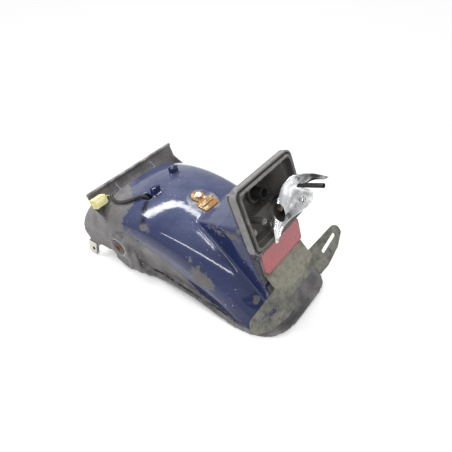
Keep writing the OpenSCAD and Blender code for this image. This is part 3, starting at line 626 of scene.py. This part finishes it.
def paint_margin(p, normal):
    """How far a point lies inside the painted skin, in millimetres. Below zero the plastic is bare."""
    x, y, z = p
    radius = math.hypot(y - AXLE_Y, z - AXLE_Z)
    above = max(radius - CORE_RADIUS, 0)
    outwards = Vector((x, above * (y - AXLE_Y) / radius, above * (z - AXLE_Z) / radius))
    if outwards.length < 1:
        return BARE
    # The skin ends at the front, earlier at the sides than on the crest, inside the shell and at the lip
    facing = normal.dot(outwards.normalized())
    front = SIDE_FRONT + (CREST_FRONT - SIDE_FRONT) * share((x + 62) / 40) * share((88 - x) / 12)
    margin = min(front - y, (148 - y) * 2, (facing - 0.03) * 40, z - along(FOOT, y) - LIP)
    # The end of the tail is bare low down and in its middle
    margin = min(margin, max(z - 22, y + 162))
    if y < TAIL_Y and abs(x) < TAIL_HALF_WIDTH:
        margin = BARE
    # So are the worn left side and the pedestal's outer strips that face backwards
    if x < -70 and y < 90:
        margin = min(margin, z - along(BARE_EDGE, y))
    if normal.y < -0.6 and z > 75 and abs(x) > 30:
        margin = min(margin, 42 - abs(x))
    for centre, size in PEELED:
        away = math.sqrt(sum(((a - b) / s) ** 2 for a, b, s in zip(p, centre, size)))
        margin = min(margin, (away - 1) * min(size))
    return max(min(margin, PAINTED), BARE)


def dust_and_sheen_on(p, normal):
    """Dust and pale scuffing at a point of the shell, and a painted highlight on the lip. The first place
    that it is in counts.
    """
    x, y, z = p
    on_wall_top = y > 150 and (WALL.inverted() @ (p * 0.001)).z > -0.003
    on_boss_rim = abs(x) > 103 and 12 < math.hypot(y - BOSS_Y, z - BOSS_Z) < 18
    on_worn_side = abs(x) > 80 and -45 < y < 90 and z < along(BARE_EDGE, y) - 4
    round_catch = math.hypot(x / 24, (y - CATCH_Y) / 28) < 1 and z > 120
    for found, dust_and_sheen in (
        (on_wall_top or on_boss_rim, 1.0),
        # The lip is paler partly from dust and partly as a painted highlight, where it faces up and catches
        # the light
        (z < along(FOOT, y) + 4.2, 0.5),
        (y > 155 or (y > 120 and z < 80), 0.25),
        (round_catch, 0.9),
        (on_worn_side, 0.4),
        (y < TAIL_Y, 0.42),
    ):
        if found:
            return dust_and_sheen
    return 0.35 * share((y - 90) / 50) * share(-x / 40)


def haze_on(p, normal):
    """Painted sky reflection with a milky film on the paint: most where it lies flat, least on the walls."""
    return 0.005 + 0.17 * max(normal.z, 0) ** 3


def crease_shade_at(p, normal):
    """Painted shade in the foot's gap, where the wall meets its lip, and on the step below the left hook."""
    x, y, z = p
    dark = 0.0
    if -140 < y < 60:
        away = math.hypot(abs(x) - along(FOOT_GAP, y), (z - along(FOOT, y) - 1) * 0.6)
        dark = max(0, 1.5 - away / 1.4)
    for start, end in zip(STEP_SHADE, STEP_SHADE[1:]):
        start, end = Vector(start), Vector(end)
        nearest = start.lerp(end, share((p - start).dot(end - start) / (end - start).length_squared))
        dark = max(dark, 0.75 * min(1, 1.7 - (p - nearest).length / 3.6))
    return min(dark, 1)


FENDER_MAPS = {"paint_margin": paint_margin, "dust_and_sheen": dust_and_sheen_on, "haze": haze_on, "crease_shade": crease_shade_at}


def fender_map(bm, **fixed):
    """Writes each vertex's paint margin, dust, haze and the painted highlight, sheen and crease shade. A
    fixed value holds for every vertex.
    """
    bm.normal_update()
    for name, value_at in FENDER_MAPS.items():
        layer = bm.verts.layers.float.new(name)
        for vert in bm.verts:
            vert[layer] = fixed[name] if name in fixed else value_at(vert.co * 1000, vert.normal)


def make_fender():
    """The moulding: the CAD shape remeshed evenly and eased, with the maps of its paint."""
    bm = node_copy("fender")
    # Fills the step in each side where the lip starts behind the boss
    for left, right in ((-97, -84), (84, 97)):
        join(bm, block((left, 50, 6.5), (right, 84, 10)))
    # A short wall under the shell, which keeps the lead's opening dark: a dark sheet that stands in for
    # shade there
    join(bm, block((-60, 89, 100), (-16, 92.5, 129.5)))
    rough = add_piece("fender_rough", bm, PAINTED_PLASTIC, "fender")
    remesh = rough.modifiers.new("even mesh", "REMESH")
    remesh.mode = "VOXEL"
    remesh.voxel_size = VOXEL * 0.001
    bm = apply_modifiers(rough)
    for _ in range(SMOOTHINGS):
        bmesh.ops.smooth_vert(bm, verts=bm.verts, factor=0.5, use_axis_x=True, use_axis_y=True,
                              use_axis_z=True)
    fender_map(bm)
    for face in bm.faces:
        face.smooth = True
    add_piece("fender_moulding", bm, PAINTED_PLASTIC, "fender", "fender")


def make_hooks():
    """The two moulded hooks, crisp, each square to the arch where it stands."""
    bm = bmesh.new()
    for x, y in ((-30, 70), (31, 87)):
        lean = math.acos((y - AXLE_Y) / CREST_RADIUS) - math.pi / 2
        hook = block((-7.7, -3.4, CREST_RADIUS - 4), (7.7, 5.6, CREST_RADIUS + 11.1), 0.0009)
        place = Matrix.Translation(mm(x, AXLE_Y, AXLE_Z)) @ Matrix.Rotation(lean, 4, "X")
        bmesh.ops.transform(hook, matrix=place, verts=hook.verts)
        join(bm, hook)
    fender_map(bm, paint_margin=14, haze=0.0)
    add_piece("wire_hooks", bm, PAINTED_PLASTIC, "fender")


def make_wall_ribs():
    """Ribs that brace the front wall, their free edges cut on a slant."""
    bm = bmesh.new()
    for x, top, foot in ((-42, -10, -34), (42, -10, -34), (-98.6, -28, -44), (98.6, -28, -44)):
        rib = block((x - 1.3, -16, -52), (x + 1.3, 0.5, top + 1))
        bmesh.ops.bisect_plane(rib, geom=[*rib.verts, *rib.edges, *rib.faces], plane_co=mm(x, 0, top),
                               plane_no=Vector((0, foot - top, 16)), clear_outer=True)
        bmesh.ops.holes_fill(rib, edges=rib.edges)
        join(bm, rib)
    soften(bm, 0.0004)
    bmesh.ops.transform(bm, matrix=WALL, verts=bm.verts)
    # The ribs are drawn paler all over with the film of painted sheen and haze
    fender_map(bm, paint_margin=BARE, haze=1.6)
    add_piece("wall_ribs", bm, PAINTED_PLASTIC, "fender")


make_fender()
make_hooks()
make_wall_ribs()

# Lamp housing

rounded_node("lamp_housing", 0.0008, HOUSING_PLASTIC, "lamp_housing")

# Broken chrome reflector. The screw's and the tube's places are across and up on the lamp's face. The bowl's
# rows run up it and out along its broken edge, each from the back edge over the crease to the front edge, as
# across, up and depth behind the lamp's face, all in millimetres

SCREW = (47, -24)
TUBE = (48, -1)
WALL_THICKNESS = 0.0024
BULB_HOLE = mm(-5, -10, -14)
BULB_HOLE_RADIUS = 0.0085
BOWL = (
    ((-34, -45, -12), (-33.5, -45, -13), (-33, -45, -13.5), (-32, -44.5, -14)),
    ((-28, -27, -4), (-27, -26, -12), (-16, -31, -10), (-10, -31, -14)),
    ((-14, -13, 2), (-8, -14, -10), (8, -24, -6), (12, -31, -14)),
    ((3, 0, 6), (4, 1, -9), (29, -21, -3), (38, -37, -16)),
    ((20, 3, 8), (8, 12, -10), (37, -12, -3), (63, -34, -21)),
    ((34, 6, 8), (14, 21, -13), (43, -2, -6), (64, -20, -22)),
    ((49, 8, 4), (28, 25, -18), (47, 5, -14), (46, -6, -18)),
    ((58, 7, -8), (37, 25, -28), (46, 12, -26), (48, 1, -24)),
    ((62, 5, -22), (46, 20, -40), (50, 13, -40), (52, 5, -36)),
    ((57, 4, -50), (56, 9, -58), (54, 8, -58), (52, 6, -54)),
)


def make_chrome_reflector():
    """What is left of the bowl, with the bulb's hole and the screw's hole cut through its wall."""
    bm = bmesh.new()
    rows, columns = len(BOWL) - 1, len(BOWL[0]) - 1
    bmesh.ops.create_grid(bm, x_segments=columns, y_segments=rows, size=1)
    for vert in bm.verts:
        across, up, depth = BOWL[round((vert.co.y + 1) * rows / 2)][round((vert.co.x + 1) * columns / 2)]
        vert.co = LAMP @ mm(across, depth, up)
    bmesh.ops.subdivide_edges(bm, edges=bm.edges[:], cuts=1, use_grid_fill=True)
    # The faces point out of the bowl, and its wall grows inwards from them
    into_bowl = LAMP.to_3x3() @ Vector((0.58, 0.68, -0.45))
    bm.normal_update()
    if sum((f.normal for f in bm.faces), Vector()).dot(into_bowl) > 0:
        bmesh.ops.reverse_faces(bm, faces=bm.faces)
    shell = add_piece("chrome_rough", bm, CHROME, "chrome")
    wall = shell.modifiers.new("wall", "SOLIDIFY")
    wall.thickness = WALL_THICKNESS
    wall.offset = -1
    smooth = shell.modifiers.new("smooth bowl", "SUBSURF")
    smooth.levels = smooth.render_levels = 3
    cutter = bmesh.new()
    hole = bmesh.ops.create_cone(cutter, cap_ends=True, segments=40, radius1=BULB_HOLE_RADIUS,
                                 radius2=BULB_HOLE_RADIUS, depth=0.06)
    turn = Matrix.Rotation(math.radians(49.9), 4, "Z") @ Matrix.Rotation(math.radians(116.5), 4, "Y")
    oval = turn @ Matrix.Diagonal((1.5, 1, 1, 1))
    bmesh.ops.transform(cutter, matrix=LAMP @ Matrix.Translation(BULB_HOLE) @ oval, verts=hole["verts"])
    rod(cutter, LAMP, *SCREW, 5.2, -40, 20)
    tool = add_piece("chrome_cutter", cutter, CHROME, "chrome")
    cut = shell.modifiers.new("bulb hole", "BOOLEAN")
    cut.operation = "DIFFERENCE"
    cut.solver = "EXACT"
    cut.object = tool
    bm = apply_modifiers(shell)
    bpy.data.objects.remove(tool)
    shade(bm, 50)
    add_piece("chrome_bowl", bm, CHROME, "chrome", "chrome_reflector")


def make_chrome_tube():
    """The dark tube that sticks out of the bowl."""
    bm = bmesh.new()
    rod(bm, LAMP, *TUBE, 3.4, -52, -10)
    recess(bm, LAMP, 1.4, 9)
    shade(bm)
    add_piece("chrome_tube", bm, RUBBER, "chrome")


def make_chrome_boss():
    """The round recess that holds the reflector's screw."""
    bm = bmesh.new()
    rod(bm, LAMP, *SCREW, 6.5, -9, 0, 32)
    recess(bm, LAMP, 1.5, 3.2)
    soften(bm, 0.0004)
    add_piece("chrome_boss", bm, CHROME, "chrome")


make_chrome_reflector()
make_chrome_tube()
make_chrome_boss()


# Red reflector

REFLECTOR_SIZE = mm(93, 5.5, 38)
STUDS = (-30, 30)


def make_red_reflector():
    """A plate with round corners and a rim round its face, on the pad, and its two studs."""
    bm = bmesh.new()
    bmesh.ops.create_cube(bm, size=1)
    bmesh.ops.scale(bm, vec=REFLECTOR_SIZE, verts=bm.verts)
    corners = [e for e in bm.edges if abs((e.verts[0].co - e.verts[1].co).y) > 0.004]
    ease(bm, corners, 0.004, 5)
    recess(bm, Matrix(), 2.2, 0.7)
    soften(bm, 0.0005)
    bmesh.ops.translate(bm, vec=mm(0, -5.25, 0), verts=bm.verts)
    bmesh.ops.transform(bm, matrix=PAD, verts=bm.verts)
    for x in STUDS:
        rod(bm, PAD, x, 0, 2.5, -3.5, 11)
    shade(bm)
    piece = add_piece("red_reflector", bm, RED_LENS, "red", "rear_reflector")
    piece.modifiers.new("even normals", "WEIGHTED_NORMAL").keep_sharp = True


make_red_reflector()

# Bracket, seat catch, mounts, clips and inserts, and the CAD nodes that only need a material

rounded_node("plate_bracket", 0.0005, OLD_STEEL, "old_steel")
rounded_node("seat_catch", 0.0005, ORANGE_RUST, "rust")
for node, width, material, slot in (
    ("seat_catch_bolt", 0.0004, RUSTED_BOLT, "rust"),
    ("clip_nut_left", 0.0003, PALE_CLIP, "beige"),
    ("clip_nut_right", 0.0003, PALE_CLIP, "beige"),
    ("grommet_left", 0.0006, RUBBER, "black_rubber"),
    ("grommet_right", 0.0006, RUBBER, "black_rubber"),
    ("sleeve_left", 0.0004, BROWN_RUST, "brown_rust"),
    ("sleeve_right", 0.0004, BROWN_RUST, "brown_rust"),
    ("lamp_inserts", 0.0003, ZINC, "zinc"),
):
    rounded_node(node, width, material, slot)
for node, material in (
    ("lamp_gasket", RUBBER), ("bulb_socket", RUBBER), ("chrome_screw", ZINC), ("lamp_bolts", ZINC),
    ("lamp_nuts", ZINC), ("reflector_nuts", ZINC), ("seat_catch_nut", ZINC),
):
    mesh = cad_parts[node].data
    for index in range(len(mesh.materials)):
        mesh.materials[index] = material


# Lamp lead. Its points are the middle line of the sheath, from the opening in the shell to its end

WIRE_DIAMETER = 0.0022
LEAD = [mm(*p) for p in (
    (-44, 77, 126), (-44.5, 79, 131), (-47, 83, 134.5), (-53, 88, 135), (-61, 94, 131.5), (-68, 103, 127),
    (-72, 113, 123.5), (-73, 124, 120.5), (-71, 135, 118), (-67, 143, 118.5), (-64, 148, 119),
)]


def make_cable(name, points, diameter, material, slot, *nodes):
    """A round cable that follows control points from end to end."""
    curve = bpy.data.curves.new(name, "CURVE")
    curve.dimensions = "3D"
    curve.resolution_u = 12
    curve.bevel_depth = diameter / 2
    curve.bevel_resolution = 4
    curve.use_fill_caps = True
    curve.twist_mode = "MINIMUM"
    line = curve.splines.new("NURBS")
    line.points.add(len(points) - 1)
    for point, co in zip(line.points, points):
        point.co = (*co, 1)
    line.order_u = 4
    line.use_endpoint_u = True
    curve.materials.append(material)
    return set_out(name, curve, slot, *nodes)


def make_wire(name, end, material, slot):
    """A wire from the sheath's end to its place in the connector, in millimetres."""
    start, end = LEAD[-1], mm(*end)
    middle = (start + end) / 2 + mm(0, 2, 1.5)
    points = [start, start + mm(-4, 1, 0.5), middle, end + mm(4, 0, 0), end]
    return make_cable(name, points, WIRE_DIAMETER, material, slot, name)


def make_connector():
    """Cream plug with four pin chambers, a latch and a step at its wire end."""
    bm = block((-12.5, -7, -8), (9, 7, 8))
    front = min(bm.faces, key=lambda f: f.calc_center_median().x)
    bmesh.ops.subdivide_edges(bm, edges=front.edges[:], cuts=1, use_grid_fill=True)
    chambers = [f for f in bm.faces if f.normal.x < -0.9]
    bmesh.ops.inset_individual(bm, faces=chambers, thickness=0.0011)
    bmesh.ops.translate(bm, vec=mm(7, 0, 0), verts=list({v for f in chambers for v in f.verts}))
    soften(bm, 0.0004, 35)
    collar = block((8, -6, -7), (12.5, 6, 7), 0.0008)
    latch = block((-9, -8.2, -3.5), (7, -6.8, 3.5), 0.0005)
    join(bm, collar)
    join(bm, latch)
    bmesh.ops.transform(bm, matrix=CONNECTOR, verts=bm.verts)
    return add_piece("connector_body", bm, CREAM, "cream", "connector")


sheath = make_cable("lead_sheath", LEAD, 0.006, RUBBER, "black_rubber", "sheath")
wires = [
    make_wire("wire_yellow", (-76.5, 149, 122), YELLOW, "wire_yellow"),
    make_wire("wire_blue", (-76.5, 148, 118), BLUE, "wire_blue"),
    make_wire("wire_black", (-76.5, 146.5, 114), RUBBER, "black_rubber"),
]
connector = make_connector()


# Floor, world and lamps

STRIP_HEIGHT = 1.1
MATT_LIGHT = 0.62


def make_floor():
    """A pale floor that takes shadows and turns to plain white away from the fender."""
    bm = bmesh.new()
    bmesh.ops.create_grid(bm, x_segments=1, y_segments=1, size=4)
    mesh = to_mesh("floor", bm)
    material, n, shader = new_material("pale floor")
    n.feed(shader.inputs["Base Color"], (0.97, 0.97, 0.97))
    n.feed(shader.inputs["Roughness"], 1.0)
    white = n.add("ShaderNodeEmission")
    seen = n.add("ShaderNodeLightPath").outputs["Is Camera Ray"]
    far = n.ramp(n.vector("LENGTH", n.place()), 0.12, 0.42)
    blend = n.add("ShaderNodeMixShader")
    n.feed(blend.inputs[0], n.math("MULTIPLY", seen, n.math("MULTIPLY_ADD", far, 0.8, 0.12)))
    n.feed(blend.inputs[1], shader.outputs["BSDF"])
    n.feed(blend.inputs[2], white.outputs["Emission"])
    n.feed(material.node_tree.nodes["Material Output"].inputs["Surface"], blend.outputs["Shader"])
    mesh.materials.append(material)
    floor = bpy.data.objects.new("floor", mesh)
    scene.collection.objects.link(floor)


def make_world():
    """White to the camera and grey to matt faces. Gloss sees white studio walls under a darker ceiling."""
    world = bpy.data.worlds.new("studio")
    scene.world = world
    world.use_nodes = True
    n = Nodes(world.node_tree)
    background = world.node_tree.nodes["Background"]
    path = n.add("ShaderNodeLightPath").outputs
    high = n.add("ShaderNodeSeparateXYZ")
    n.feed(high.inputs[0], n.add("ShaderNodeTexCoord").outputs["Generated"])
    walls = n.ramp(high.outputs["Z"], 0.3, 0.8, 1.0, 0.42)
    shiny = n.math("MAXIMUM", path["Is Glossy Ray"], path["Is Transmission Ray"])
    level = n.math("MULTIPLY_ADD", shiny, n.math("SUBTRACT", walls, MATT_LIGHT), MATT_LIGHT)
    n.feed(background.inputs["Color"], (1, 1, 1))
    n.feed(background.inputs["Strength"], n.math("MAXIMUM", level, path["Is Camera Ray"]))


def make_strip(name, a, b, width, radiance):
    """A strip lamp that faces down, from above point a to above point b, in metres."""
    light = bpy.data.lights.new(name, "AREA")
    light.shape = "RECTANGLE"
    across = Vector((b[0] - a[0], b[1] - a[1]))
    light.size = across.length
    light.size_y = width
    light.energy = radiance * math.pi * across.length * width
    lamp = bpy.data.objects.new(name, light)
    scene.collection.objects.link(lamp)
    lamp.location = ((a[0] + b[0]) / 2, (a[1] + b[1]) / 2, STRIP_HEIGHT)
    lamp.rotation_euler = (0, 0, math.atan2(across.y, across.x))


make_floor()
make_world()
make_strip("front strip", (-0.40, 0.87), (0.52, 0.62), 0.2, 26)
make_strip("front strip end", (0.50, 0.62), (0.46, 0.14), 0.12, 22)
make_strip("left strip", (-1.07, 0.53), (-0.29, -0.91), 0.05, 34)
make_strip("middle strip", (0.09, -0.02), (-0.16, -0.77), 0.014, 66)
scene.view_settings.view_transform = "Standard"
